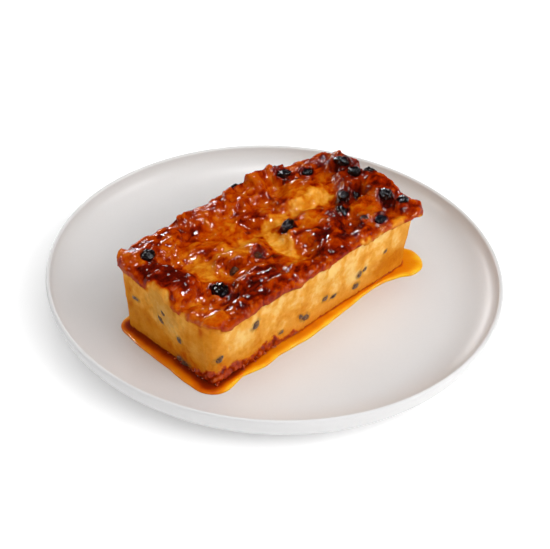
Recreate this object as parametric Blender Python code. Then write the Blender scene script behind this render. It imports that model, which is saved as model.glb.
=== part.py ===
"""A loaf of bread pudding with a caramelised crust and raisins, in a pool of syrup on a coupe plate.

Sizes are in millimetres and are scaled to metres as each mesh is made. The frame's origin is the
centre of the plate's foot, +Z is up and +X runs along the loaf. Places on the loaf are given from
its near left base corner: along its length, across its width, and up from its base.
"""

import math

import bmesh
import bpy
import numpy as np

METRES = 0.001
GAP = 0.3

# Plate
PLATE_RADIUS = 125.0
PLATE_HEIGHT = 23.0
PLATE_SEGMENTS = 64
LIP_RADIUS = 1.25
FLOOR_RADIUS = 97.0
FLOOR_HEIGHT = 7.0
UNDERSIDE_HEIGHT = 1.0
FOOT_INNER_RADIUS = 80.0
FOOT_OUTER_RADIUS = 86.0
RECESS_HEIGHT = 2.0
LIP_STEPS = 3
WALL_STEPS = 6

# Loaf
LOAF_LENGTH = 151.0
LOAF_WIDTH = 67.0
LOAF_LEFT = -82.2
LOAF_NEAR = -37.2
LOAF_CORNER = 9.5
TIN_TAPER = 4.0
CUSTARD_HEIGHT = 39.5
FAR_SIDE_RISE = 3.5
FAR_END_RISE = 1.5
CRUST_LINE = 41.0
RIM_RISE = 4.5
CRUST_OVERHANG = 1.2
CRUST_ROUNDING = 3.2
CRUST_UNDERCUT = 1.0
CRUST_LEAST = 1.5
BREAD_SLOPE = 0.35
CREASE_DEPTH = 1.8
FOOT_ROUNDING = 1.3
GRID_ALONG = 58
GRID_ACROSS = 28
REACH_PASSES = 8
TOP_HALF = np.array([LOAF_LENGTH / 2 + TIN_TAPER, LOAF_WIDTH / 2 + TIN_TAPER])
TOP_INNER = TOP_HALF - LOAF_CORNER

# Syrup
SYRUP_DEPTH = 1.3
SYRUP_CLIMB = 0.8
SYRUP_CLEARANCE = 0.8

# Raisins
RAISIN_SEGMENTS = 9
RAISIN_RINGS = 6
RAISIN_WRINKLE = 0.07

# Bread pieces in the top: along, across, length, width, turn in degrees, rise above the custard
BREAD = [
    (1, 8, 26, 30, 0, 6.5),
    (33, 2, 52, 20, 0, 6.0),
    (42, 13, 34, 13, 4, 6.0),
    (66, 0, 28, 20, 0, 5.0),
    (95, 20, 42, 34, -8, 5.5),
    (90, 0, 42, 20, 0, 5.5),
    (119, 0, 30, 22, 0, 5.5),
    (130, 16, 28, 22, 10, 5.0),
    (148, -2, 24, 20, 0, 5.0),
    (150, 21, 22, 24, 0, 6.0),
    (154, 30, 26, 24, 0, 6.5),
    (154, 51, 26, 24, 0, 8.5),
    (144, 41, 20, 22, 0, 6.5),
    (112, 47, 34, 27, 0, 5.0),
    (131, 31, 26, 12, 25, 6.0),
    (18, 66, 50, 20, 3, 5.5),
    (54, 68, 44, 20, 0, 5.5),
    (86, 68, 42, 24, 4, 5.5),
    (102, 72, 22, 20, 0, 9.5),
    (112, 68, 16, 16, 0, 7.0),
    (3, 37, 32, 36, 0, 8.5),
    (0, 60, 26, 26, 0, 6.5),
    (52, 51, 42, 24, 0, 1.5),
    (47, 32, 36, 14, -8, 3.5),
    (79, 51, 20, 24, 20, 4.0),
]

# Raisins in the top: along, across, length, width, height, turn in degrees, share of height sunk
RAISINS = [
    (8.0, 57.0, 9.0, 7.5, 6.0, 20, 0.45),
    (23.0, 19.5, 10.5, 9.5, 7.5, 30, 0.50),
    (40.5, 26.5, 8.5, 5.5, 4.5, 15, 0.75),
    (56.5, 26.5, 6.5, 5.5, 4.5, 60, 0.70),
    (83.0, 30.0, 10.0, 7.0, 6.0, 25, 0.50),
    (87.5, 75.5, 9.5, 5.5, 5.0, 10, 0.45),
    (114.0, 63.5, 10.0, 5.5, 5.0, -14, 0.45),
    (117.5, 73.0, 8.0, 5.5, 5.0, 80, 0.45),
    (132.5, 62.0, 8.0, 6.5, 5.0, 0, 0.50),
    (119.0, 23.5, 10.5, 5.5, 5.0, 58, 0.50),
    (126.5, 29.0, 8.5, 7.0, 5.5, 25, 0.55),
    (137.5, 30.0, 7.5, 6.0, 5.0, 20, 0.55),
    (146.0, 48.5, 9.5, 6.0, 5.5, -76, 0.45),
    (145.0, 38.0, 8.5, 8.0, 6.5, 10, 0.45),
    (154.0, 34.5, 7.5, 7.0, 5.5, -20, 0.45),
    (143.0, 13.0, 9.0, 7.5, 6.0, 60, 0.45),
    (148.0, 4.5, 8.0, 7.0, 6.0, 40, 0.45),
    (126.0, 1.5, 8.5, 6.0, 5.0, 10, 0.55),
    (119.5, 8.0, 6.0, 5.0, 4.0, 0, 0.65),
]

# Width of the syrup round the loaf: turn about the loaf's centre in degrees, width
SYRUP_WIDTHS = [
    (-180, 7.5),
    (-160, 8.0),
    (-156, 8.0),
    (-151, 5.0),
    (-143, 7.5),
    (-136, 6.5),
    (-113, 7.0),
    (-90, 6.5),
    (-65, 5.5),
    (-48, 4.0),
    (-38, 2.5),
    (-31, 3.5),
    (-27, 6.0),
    (-24, 12.0),
    (-20, 14.0),
    (-15, 11.0),
    (-8, 6.0),
    (10, 4.0),
    (24, 3.0),
    (60, 3.0),
    (90, 4.5),
    (120, 3.0),
    (148, 2.5),
    (156, 4.5),
    (168, 7.0),
]

# Where the crust runs down over the side: turn about the loaf's centre in degrees, drop, spread
CRUST_DRIPS = [
    (-162, 6.0, 6),
    (-126, 7.0, 5),
    (-84, 6.5, 8),
    (-38, 6.0, 7),
    (12, 4.0, 8),
    (40, 4.0, 8),
    (75, 5.0, 10),
    (120, 4.0, 9),
    (158, 4.0, 7),
]

# Where the crust reaches further out: turn about the loaf's centre in degrees, reach, spread
CRUST_REACHES = [
    (-6, 3.0, 6),
    (28, -3.0, 9),
    (85, 3.5, 26),
    (130, 2.5, 16),
    (-25, 3.8, 5.5),
    (-60, -0.8, 9),
]


def smooth(t):
    """A ramp from 0 to 1 that starts and ends level."""
    t = np.clip(t, 0.0, 1.0)
    return t * t * (3.0 - 2.0 * t)


def lattice(ix, iy, iz, seed):
    """A fixed number from 0 to 1 for each lattice point."""
    mixed = (ix * 73856093) ^ (iy * 19349663) ^ (iz * 83492791) ^ (seed * 40503)
    for _ in range(2):
        mixed = mixed & 0xFFFFFFFF
        mixed = (mixed ^ (mixed >> 16)) * 73244475
    mixed = mixed & 0xFFFFFFFF
    return ((mixed ^ (mixed >> 16)) & 0xFFFF) / 65535.0


def noise(points, cell, seed):
    """Smooth noise from -1 to 1 whose lumps are about one cell across."""
    scaled = np.asarray(points, float) / cell
    corner = np.floor(scaled).astype(np.int64)
    share = smooth(scaled - corner)
    total = np.zeros(scaled.shape[:-1])
    for dx in (0, 1):
        for dy in (0, 1):
            for dz in (0, 1):
                weight = (
                    (share[..., 0] if dx else 1.0 - share[..., 0])
                    * (share[..., 1] if dy else 1.0 - share[..., 1])
                    * (share[..., 2] if dz else 1.0 - share[..., 2])
                )
                value = lattice(corner[..., 0] + dx, corner[..., 1] + dy, corner[..., 2] + dz, seed)
                total += weight * value
    return 2.0 * total - 1.0


def plan(square):
    """Moves points of the square from -1 to 1 onto the rounded rectangle of the loaf's top."""
    flat = square * TOP_HALF
    core = np.clip(flat, -TOP_INNER, TOP_INNER)
    over = (flat - core) / LOAF_CORNER
    length = np.hypot(over[..., 0], over[..., 1])
    longest = np.abs(over).max(axis=-1)
    factor = np.where(length > 1e-9, longest / np.maximum(length, 1e-9), 1.0)
    return core + over * factor[..., None] * LOAF_CORNER


def outward(points):
    """Unit vectors away from the middle of the rounded rectangle, zero where it is level."""
    away = points - np.clip(points, -TOP_INNER, TOP_INNER)
    return away / np.maximum(np.linalg.norm(away, axis=-1, keepdims=True), 1e-9)


def rim_depth(points):
    """How far points are inside the rounded rectangle, at most its corner radius."""
    over = np.maximum(np.abs(points) - TOP_INNER, 0.0)
    return LOAF_CORNER - np.hypot(over[..., 0], over[..., 1])


def bearing(points):
    """The turn of each point about the loaf's centre, in degrees."""
    return np.degrees(np.arctan2(points[..., 1], points[..., 0]))


def spread_sum(turns, table):
    """The sum of the table's bumps at each turn: where it is, how much, and how wide."""
    total = np.zeros(turns.shape)
    for turn, amount, spread in table:
        away = (turns - turn + 180.0) % 360.0 - 180.0
        total = total + amount * np.exp(-((away / spread) ** 2))
    return total


def bread_rise(places, spots):
    """How far the bread pieces stand above the custard, at places on the loaf."""
    rise = np.zeros(places.shape[:-1])
    ragged = 0.22 * noise(spots, 8.0, 5) + 0.12 * noise(spots, 4.0, 6)
    for along, across, length, width, turn, height in BREAD:
        angle = math.radians(turn)
        dx = places[..., 0] - along
        dy = places[..., 1] - across
        far_x = (dx * math.cos(angle) + dy * math.sin(angle)) / (length / 2)
        far_y = (dy * math.cos(angle) - dx * math.sin(angle)) / (width / 2)
        piece = height * smooth((1.0 - np.hypot(far_x, far_y) + ragged) / BREAD_SLOPE)
        rise = np.maximum(rise, piece) + 0.25 * np.minimum(rise, piece)
    return rise


def edge_drop(points):
    """How far the top has rounded down at points of the rounded rectangle."""
    near = np.clip(CRUST_ROUNDING - rim_depth(points), 0.0, CRUST_ROUNDING)
    return CRUST_ROUNDING - np.sqrt(CRUST_ROUNDING**2 - near**2)


def top_height(places, flat):
    """Height of the top above the loaf's base, where flat is each place before the rim's reach."""
    tilt = FAR_SIDE_RISE * (places[..., 1] / LOAF_WIDTH - 0.5)
    tilt = tilt + FAR_END_RISE * (places[..., 0] / LOAF_LENGTH - 0.5)
    spots = np.concatenate([places, np.zeros(places.shape[:-1] + (1,))], axis=-1)
    lumps = 0.8 * noise(spots, 9.0, 3) + 0.6 * noise(spots, 5.0, 4)
    creases = CREASE_DEPTH * (1.0 - np.abs(noise(spots, 15.0, 8))) ** 5
    rim = RIM_RISE * smooth(1.0 - rim_depth(flat) / LOAF_CORNER)
    rise = np.maximum(bread_rise(places, spots), rim)
    return CUSTARD_HEIGHT + tilt + rise + lumps - creases - edge_drop(flat)


def rim_reach(points):
    """How far the crust is pushed outwards from points of the rounded rectangle."""
    reach = CRUST_OVERHANG + spread_sum(bearing(points), CRUST_REACHES)
    return reach * smooth(1.0 - rim_depth(points) / LOAF_CORNER)


def side_ring(rim, heights, push):
    """Points of the loaf's side below its rim, moved outwards by push and by its unevenness."""
    inset = TIN_TAPER * (1.0 - heights / CRUST_LINE)
    spots = np.concatenate([rim, heights[:, None]], axis=-1)
    wave = 0.7 * noise(spots, 16.0, 11) + 0.3 * noise(spots, 7.0, 12)
    return rim + outward(rim) * (push + wave - inset)[:, None]


def loaf_grid():
    """The square grid over the top, and the indices of its edge in order."""
    along = np.linspace(-1.0, 1.0, GRID_ALONG + 1)
    across = np.linspace(-1.0, 1.0, GRID_ACROSS + 1)
    grid = np.stack(np.meshgrid(along, across, indexing="ij"), axis=-1)
    near = [(i, 0) for i in range(GRID_ALONG)]
    right = [(GRID_ALONG, j) for j in range(GRID_ACROSS)]
    far = [(GRID_ALONG - i, GRID_ACROSS) for i in range(GRID_ALONG)]
    left = [(0, GRID_ACROSS - j) for j in range(GRID_ACROSS)]
    return grid, near + right + far + left


def to_places(points):
    """From the loaf's centre to its near left base corner."""
    return points + np.array([LOAF_LENGTH / 2, LOAF_WIDTH / 2])


def to_frame(points, heights):
    """From the loaf's centre and base to the plate's frame, in millimetres."""
    centre = np.array([LOAF_LEFT + LOAF_LENGTH / 2, LOAF_NEAR + LOAF_WIDTH / 2])
    base = FLOOR_HEIGHT + GAP
    return np.concatenate([points + centre, (heights + base)[..., None]], axis=-1)


def surface_height(along, across):
    """Height above the loaf's base of the finished top at one place."""
    place = np.array([along - LOAF_LENGTH / 2, across - LOAF_WIDTH / 2])
    flat = place
    for _ in range(REACH_PASSES):
        flat = place - rim_reach(flat) * outward(flat)
    return float(top_height(np.array([along, across]), flat))


def mesh_object(name, vertices, faces, material):
    """An object from vertices in millimetres, shaded smooth."""
    mesh = bpy.data.meshes.new(name)
    mesh.from_pydata([tuple(METRES * float(c) for c in v) for v in vertices], [], faces)
    mesh.update()
    mesh.shade_smooth()
    mesh.set_sharp_from_angle(angle=math.radians(50))
    mesh.materials.append(material)
    thing = bpy.data.objects.new(name, mesh)
    bpy.context.scene.collection.objects.link(thing)
    return thing


def make_material(name, colour, roughness):
    """A plain finish of one colour."""
    material = bpy.data.materials.new(name)
    material.use_nodes = True
    shader = material.node_tree.nodes["Principled BSDF"]
    shader.inputs["Base Color"].default_value = (*colour, 1.0)
    shader.inputs["Roughness"].default_value = roughness
    shader.inputs["Metallic"].default_value = 0.0
    material.diffuse_color = (*colour, 1.0)
    return material


def floor_height(radius):
    """Height of the plate's upper surface at a distance from its centre."""
    reach = PLATE_RADIUS - 2 * LIP_RADIUS - FLOOR_RADIUS
    share = np.clip((radius - FLOOR_RADIUS) / reach, 0.0, 1.0)
    lip_height = PLATE_HEIGHT - LIP_RADIUS
    return lip_height - (lip_height - FLOOR_HEIGHT) * np.sqrt(1.0 - share**2)


def plate_profile():
    """Radius and height down the outside of the plate's section, from its top centre to its foot."""
    lip_height = PLATE_HEIGHT - LIP_RADIUS
    inner = PLATE_RADIUS - 2 * LIP_RADIUS
    points = [(0.0, FLOOR_HEIGHT)]
    for step in range(WALL_STEPS + 1):
        turn = math.pi / 2 * step / WALL_STEPS
        radius = FLOOR_RADIUS + (inner - FLOOR_RADIUS) * math.sin(turn)
        points.append((radius, lip_height - (lip_height - FLOOR_HEIGHT) * math.cos(turn)))
    for step in range(1, LIP_STEPS):
        turn = math.pi * (1 - step / LIP_STEPS)
        centre = PLATE_RADIUS - LIP_RADIUS
        points.append((centre + LIP_RADIUS * math.cos(turn), lip_height + LIP_RADIUS * math.sin(turn)))
    for step in range(WALL_STEPS + 1):
        turn = math.pi / 2 * (1 - step / WALL_STEPS)
        radius = FLOOR_RADIUS + (PLATE_RADIUS - FLOOR_RADIUS) * math.sin(turn)
        drop = lip_height - UNDERSIDE_HEIGHT
        points.append((radius, lip_height - drop * math.cos(turn)))
    points.append((FOOT_OUTER_RADIUS + 2.0, UNDERSIDE_HEIGHT))
    points.append((FOOT_OUTER_RADIUS, 0.0))
    points.append((FOOT_INNER_RADIUS, 0.0))
    points.append((FOOT_INNER_RADIUS - 2.5, RECESS_HEIGHT))
    points.append((0.0, RECESS_HEIGHT))
    return points


def make_plate(material):
    """The plate, turned from its section."""
    bm = bmesh.new()
    section = [bm.verts.new((r * METRES, 0.0, z * METRES)) for r, z in plate_profile()]
    edges = [bm.edges.new(pair) for pair in zip(section, section[1:])]
    bmesh.ops.spin(
        bm,
        geom=section + edges,
        cent=(0, 0, 0),
        axis=(0, 0, 1),
        angle=2 * math.pi,
        steps=PLATE_SEGMENTS,
        use_merge=True,
    )
    bmesh.ops.remove_doubles(bm, verts=bm.verts, dist=0.01 * METRES)
    bmesh.ops.recalc_face_normals(bm, faces=bm.faces)
    mesh = bpy.data.meshes.new("plate")
    bm.to_mesh(mesh)
    bm.free()
    mesh.shade_smooth()
    mesh.set_sharp_from_angle(angle=math.radians(50))
    mesh.materials.append(material)
    plate = bpy.data.objects.new("plate", mesh)
    bpy.context.scene.collection.objects.link(plate)
    return plate


def side_heights(rim, edge_heights):
    """Heights and outward pushes of the rings down the side, below the top's own edge."""
    line = CRUST_LINE - spread_sum(bearing(rim), CRUST_DRIPS)
    line = np.minimum(line, edge_heights - CRUST_LEAST)
    reach = rim_reach(rim)
    flat = np.zeros(line.shape)
    return [
        ((edge_heights + line) / 2, reach),
        (line, 0.6 * reach),
        (line - CRUST_UNDERCUT, flat),
        (line / 2, flat),
        (flat + FOOT_ROUNDING, flat),
        (flat, flat - 0.6 * FOOT_ROUNDING),
    ]


def make_pudding(material):
    """The loaf: an uneven top with bread pieces in it, sides that taper to the base, and a flat base."""
    grid, edge = loaf_grid()
    flat = plan(grid)
    top = flat + rim_reach(flat)[..., None] * outward(flat)
    heights = top_height(to_places(top), flat)
    vertices = list(to_frame(top, heights).reshape(-1, 3))
    index = np.arange(grid.shape[0] * grid.shape[1]).reshape(grid.shape[:2])
    faces = [
        (index[i, j], index[i + 1, j], index[i + 1, j + 1], index[i, j + 1])
        for i in range(GRID_ALONG)
        for j in range(GRID_ACROSS)
    ]
    rim = np.array([flat[i, j] for i, j in edge])
    edge_heights = np.array([heights[i, j] for i, j in edge])
    upper = [int(index[i, j]) for i, j in edge]
    for ring_heights, push in side_heights(rim, edge_heights):
        ring = side_ring(rim, ring_heights, push)
        first = len(vertices)
        vertices.extend(to_frame(ring, ring_heights))
        lower = list(range(first, first + len(edge)))
        for k in range(len(edge)):
            following = (k + 1) % len(edge)
            faces.append((upper[k], lower[k], lower[following], upper[following]))
        upper = lower
    faces.append(tuple(reversed(upper)))
    faces = [tuple(int(v) for v in face) for face in faces]
    return mesh_object("pudding", vertices, faces, material)


def make_syrup(material):
    """The pool of syrup round the foot of the loaf, with a rounded outer edge."""
    grid, edge = loaf_grid()
    rim = plan(np.array([grid[i, j] for i, j in edge[::2]]))
    count = len(rim)
    low = side_ring(rim, np.zeros(count), SYRUP_CLEARANCE)
    high = side_ring(rim, np.full(count, SYRUP_DEPTH + SYRUP_CLIMB), SYRUP_CLEARANCE)
    inner = np.where(
        (np.linalg.norm(low, axis=1) > np.linalg.norm(high, axis=1))[:, None], low, high
    )
    normals = outward(rim)
    turns = np.array([turn for turn, _ in SYRUP_WIDTHS] + [180.0])
    widths = np.array([width for _, width in SYRUP_WIDTHS] + [SYRUP_WIDTHS[0][1]])
    width = np.interp(bearing(inner), turns, widths)
    width = (np.roll(width, 1) + 4 * width + np.roll(width, -1)) / 6
    centre = np.array([LOAF_LEFT + LOAF_LENGTH / 2, LOAF_NEAR + LOAF_WIDTH / 2])
    section = [
        (0.0, 0.0, False),
        (0.0, SYRUP_DEPTH + SYRUP_CLIMB, True),
        (0.2, SYRUP_DEPTH + 0.15, True),
        (0.75, SYRUP_DEPTH * 0.92, True),
        (0.94, SYRUP_DEPTH * 0.6, True),
        (1.0, SYRUP_DEPTH * 0.2, True),
        (0.97, 0.0, False),
    ]
    vertices = []
    for share, rise, _ in section:
        line = inner + normals * (width * share)[:, None] + centre
        under = floor_height(np.linalg.norm(line, axis=1)) + GAP
        vertices.extend(np.concatenate([line, (under + rise)[:, None]], axis=1))
    faces = []
    for row in range(len(section)):
        next_row = (row + 1) % len(section)
        for k in range(count):
            following = (k + 1) % count
            faces.append(
                (
                    row * count + k,
                    next_row * count + k,
                    next_row * count + following,
                    row * count + following,
                )
            )
    return mesh_object("syrup", vertices, faces, material)


def raisin_mesh(number, grow):
    """Vertices and faces of one wrinkled raisin in its place, grown on all sides by grow."""
    along, across, length, width, height, turn, sunk = RAISINS[number]
    vertices = []
    for ring in range(RAISIN_RINGS + 1):
        tilt = math.pi * ring / RAISIN_RINGS
        for step in range(RAISIN_SEGMENTS if 0 < ring < RAISIN_RINGS else 1):
            swing = 2 * math.pi * step / RAISIN_SEGMENTS
            vertices.append(
                (math.sin(tilt) * math.cos(swing), math.sin(tilt) * math.sin(swing), math.cos(tilt))
            )
    balls = np.array(vertices)
    bumps = 1.0 + RAISIN_WRINKLE * noise(balls + 7.0 * number, 0.55, 21)
    sizes = np.array([length, width, height]) / 2 + grow
    shaped = balls * bumps[:, None] * sizes
    angle = math.radians(turn)
    spun = shaped.copy()
    spun[:, 0] = shaped[:, 0] * math.cos(angle) - shaped[:, 1] * math.sin(angle)
    spun[:, 1] = shaped[:, 0] * math.sin(angle) + shaped[:, 1] * math.cos(angle)
    level = surface_height(along, across) + (0.5 - sunk) * height
    centred = np.array([along - LOAF_LENGTH / 2, across - LOAF_WIDTH / 2])
    middle = to_frame(centred, np.array(level))
    last = len(vertices) - 1
    faces = []
    for step in range(RAISIN_SEGMENTS):
        following = (step + 1) % RAISIN_SEGMENTS
        faces.append((0, 1 + step, 1 + following))
        for ring in range(RAISIN_RINGS - 2):
            upper = 1 + ring * RAISIN_SEGMENTS
            lower = upper + RAISIN_SEGMENTS
            faces.append((upper + step, lower + step, lower + following, upper + following))
        lowest = 1 + (RAISIN_RINGS - 2) * RAISIN_SEGMENTS
        faces.append((last, lowest + following, lowest + step))
    return spun + middle, faces


def seat_raisins(pudding, material):
    """Each raisin as its own object, with a socket cut for it in the pudding."""
    sockets = bpy.data.collections.new("sockets")
    bpy.context.scene.collection.children.link(sockets)
    for number in range(len(RAISINS)):
        vertices, faces = raisin_mesh(number, 0.0)
        mesh_object(f"raisin_{number + 1:02d}", vertices, faces, material)
        vertices, faces = raisin_mesh(number, GAP)
        socket = mesh_object(f"socket_{number + 1:02d}", vertices, faces, material)
        bpy.context.scene.collection.objects.unlink(socket)
        sockets.objects.link(socket)
        socket.hide_render = True
        socket.display_type = "WIRE"
    cut = pudding.modifiers.new("raisin sockets", "BOOLEAN")
    cut.operation = "DIFFERENCE"
    cut.operand_type = "COLLECTION"
    cut.collection = sockets
    cut.solver = "EXACT"


def main():
    for thing in list(bpy.data.objects):
        bpy.data.objects.remove(thing)
    glaze = make_material("plate_glaze", (0.78, 0.73, 0.71), 0.3)
    custard = make_material("baked_custard", (0.62, 0.28, 0.06), 0.35)
    amber = make_material("syrup_amber", (0.75, 0.28, 0.01), 0.1)
    skin = make_material("raisin_skin", (0.02, 0.01, 0.01), 0.25)
    make_plate(glaze)
    pudding = make_pudding(custard)
    make_syrup(amber)
    seat_raisins(pudding, skin)


main()
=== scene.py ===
"""A loaf of bread pudding under a caramelised crust with raisins, in a pool of syrup on a coupe plate.

Sizes are in millimetres and are scaled to metres as each mesh is made. Places on the loaf are given
from its near left base corner: along its length, across its width, and up from its base.
"""

import itertools
import math

import bpy
import numpy as np
from mathutils import Matrix, Vector


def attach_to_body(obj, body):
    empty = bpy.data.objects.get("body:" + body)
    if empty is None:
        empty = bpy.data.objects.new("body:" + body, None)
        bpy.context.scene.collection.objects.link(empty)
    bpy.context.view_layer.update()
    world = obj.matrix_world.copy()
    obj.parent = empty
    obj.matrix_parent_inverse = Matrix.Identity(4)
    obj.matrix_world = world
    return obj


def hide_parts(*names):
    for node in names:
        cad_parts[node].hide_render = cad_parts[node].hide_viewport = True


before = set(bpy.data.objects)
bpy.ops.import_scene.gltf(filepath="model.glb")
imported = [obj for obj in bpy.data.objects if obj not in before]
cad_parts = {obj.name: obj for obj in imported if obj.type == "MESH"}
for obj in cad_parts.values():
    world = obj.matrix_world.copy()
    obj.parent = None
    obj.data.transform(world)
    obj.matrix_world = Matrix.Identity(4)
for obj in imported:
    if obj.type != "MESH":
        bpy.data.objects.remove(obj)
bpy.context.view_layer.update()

METRES = 0.001
GAP = 0.3
STUDIO_REACH = 6000.0

# Plate
PLATE_RADIUS = 125.0
PLATE_HEIGHT = 23.0
PLATE_SEGMENTS = 256
LIP_RADIUS = 1.25
FLOOR_RADIUS = 97.0
FLOOR_HEIGHT = 7.0
UNDERSIDE_HEIGHT = 1.0
FOOT_INNER_RADIUS = 80.0
FOOT_OUTER_RADIUS = 86.0
RECESS_HEIGHT = 2.0
LIP_STEPS = 12
WALL_STEPS = 28
FLOOR_RINGS = (20.0, 40.0, 60.0, 80.0, 90.0)

# Section of the foot ring, outside and inside: distance out from its edge, height
FOOT_OUTSIDE = [(2.4, UNDERSIDE_HEIGHT), (1.0, 0.55), (0.3, 0.1), (-0.3, 0.0)]
FOOT_INSIDE = [(0.3, 0.0), (-0.3, 0.15), (-1.2, 1.0), (-2.5, 1.85), (-4.0, RECESS_HEIGHT)]

# Loaf, as the solid has it
LOAF_LENGTH = 151.0
LOAF_WIDTH = 67.0
LOAF_LEFT = -82.2
LOAF_NEAR = -37.2
LOAF_CORNER = 9.5
TIN_TAPER = 4.0
CUSTARD_HEIGHT = 39.5
FAR_SIDE_RISE = 3.5
FAR_END_RISE = 1.5
CRUST_LINE = 41.0
RIM_RISE = 4.5
CRUST_OVERHANG = 1.2
CRUST_ROUNDING = 3.2
CRUST_UNDERCUT = 1.0
CRUST_LEAST = 1.5
BREAD_SLOPE = 0.35
CREASE_DEPTH = 1.8
FOOT_ROUNDING = 1.3
REACH_PASSES = 8
LOAF_BASE = FLOOR_HEIGHT + GAP
LOAF_HALF = np.array([LOAF_LENGTH, LOAF_WIDTH]) / 2
LOAF_CENTRE = np.array([LOAF_LEFT, LOAF_NEAR]) + LOAF_HALF
TOP_HALF = LOAF_HALF + TIN_TAPER
TOP_INNER = TOP_HALF - LOAF_CORNER

# Loaf, its finer mesh and its baking
GRID_ALONG = 304
GRID_ACROSS = 148
CRUST_ROWS = 9
WALL_ROWS = 34
FOOT_ROWS = 4
SOFTENING = 26
HIGHEST = 59.9
DARKEST = 0.93
DULL_PATCH = (8.0, 37.0)

# Syrup
SYRUP_DEPTH = 1.3
SYRUP_CLIMB = 0.8
SYRUP_OVERLAP = 0.5
SYRUP_SWELL = 0.1
SYRUP_LIFT = 0.05
SYRUP_EASING = 10

# Raisins
RAISIN_SEGMENTS = 56
RAISIN_RINGS = 36
RAISIN_WRINKLE = 0.07
DEEPLY_SUNK = 0.65

# Bread pieces in the top: along, across, length, width, turn in degrees, rise above the custard
BREAD = [
    (1, 8, 26, 30, 0, 6.5),
    (33, 2, 52, 20, 0, 6.0),
    (42, 13, 34, 13, 4, 6.0),
    (66, 0, 28, 20, 0, 5.0),
    (95, 20, 42, 34, -8, 5.5),
    (90, 0, 42, 20, 0, 5.5),
    (119, 0, 30, 22, 0, 5.5),
    (130, 16, 28, 22, 10, 5.0),
    (148, -2, 24, 20, 0, 5.0),
    (150, 21, 22, 24, 0, 6.0),
    (154, 30, 26, 24, 0, 6.5),
    (154, 51, 26, 24, 0, 8.5),
    (144, 41, 20, 22, 0, 6.5),
    (112, 47, 34, 27, 0, 5.0),
    (131, 31, 26, 12, 25, 6.0),
    (18, 66, 50, 20, 3, 5.5),
    (54, 68, 44, 20, 0, 5.5),
    (86, 68, 42, 24, 4, 5.5),
    (102, 72, 22, 20, 0, 9.5),
    (112, 68, 16, 16, 0, 7.0),
    (3, 37, 32, 36, 0, 8.5),
    (0, 60, 26, 26, 0, 6.5),
    (52, 51, 42, 24, 0, 1.5),
    (47, 32, 36, 14, -8, 3.5),
    (79, 51, 20, 24, 20, 4.0),
]

# Raisins in the top: along, across, length, width, height, turn in degrees, share of height sunk
RAISINS = [
    (8.0, 57.0, 9.0, 7.5, 6.0, 20, 0.45),
    (23.0, 19.5, 10.5, 9.5, 7.5, 30, 0.50),
    (40.5, 26.5, 8.5, 5.5, 4.5, 15, 0.75),
    (56.5, 26.5, 6.5, 5.5, 4.5, 60, 0.70),
    (83.0, 30.0, 10.0, 7.0, 6.0, 25, 0.50),
    (87.5, 75.5, 9.5, 5.5, 5.0, 10, 0.45),
    (114.0, 63.5, 10.0, 5.5, 5.0, -14, 0.45),
    (117.5, 73.0, 8.0, 5.5, 5.0, 80, 0.45),
    (132.5, 62.0, 8.0, 6.5, 5.0, 0, 0.50),
    (119.0, 23.5, 10.5, 5.5, 5.0, 58, 0.50),
    (126.5, 29.0, 8.5, 7.0, 5.5, 25, 0.55),
    (137.5, 30.0, 7.5, 6.0, 5.0, 20, 0.55),
    (146.0, 48.5, 9.5, 6.0, 5.5, -76, 0.45),
    (145.0, 38.0, 8.5, 8.0, 6.5, 10, 0.45),
    (154.0, 34.5, 7.5, 7.0, 5.5, -20, 0.45),
    (143.0, 13.0, 9.0, 7.5, 6.0, 60, 0.45),
    (148.0, 4.5, 8.0, 7.0, 6.0, 40, 0.45),
    (126.0, 1.5, 8.5, 6.0, 5.0, 10, 0.55),
    (119.5, 8.0, 6.0, 5.0, 4.0, 0, 0.65),
]

# Width of the syrup round the loaf: turn about the loaf's centre in degrees, width
SYRUP_WIDTHS = [
    (-180, 7.5),
    (-160, 8.0),
    (-156, 8.0),
    (-151, 5.0),
    (-143, 7.5),
    (-136, 6.5),
    (-113, 7.0),
    (-90, 6.5),
    (-65, 5.5),
    (-48, 4.0),
    (-38, 2.5),
    (-31, 3.5),
    (-27, 6.0),
    (-24, 12.0),
    (-20, 14.0),
    (-15, 11.0),
    (-8, 6.0),
    (10, 4.0),
    (24, 3.0),
    (60, 3.0),
    (90, 4.5),
    (120, 3.0),
    (148, 2.5),
    (156, 4.5),
    (168, 7.0),
]

# Where the crust runs down over the side: turn about the loaf's centre in degrees, drop, spread
CRUST_DRIPS = [
    (-162, 6.0, 6),
    (-126, 7.0, 5),
    (-84, 6.5, 8),
    (-38, 6.0, 7),
    (12, 4.0, 8),
    (40, 4.0, 8),
    (75, 5.0, 10),
    (120, 4.0, 9),
    (158, 4.0, 7),
]

# Where the crust reaches further out: turn about the loaf's centre in degrees, reach, spread
CRUST_REACHES = [
    (-6, 3.0, 6),
    (28, -3.0, 9),
    (85, 3.5, 26),
    (130, 2.5, 16),
    (-25, 3.8, 5.5),
    (-60, -0.8, 9),
]

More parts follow.
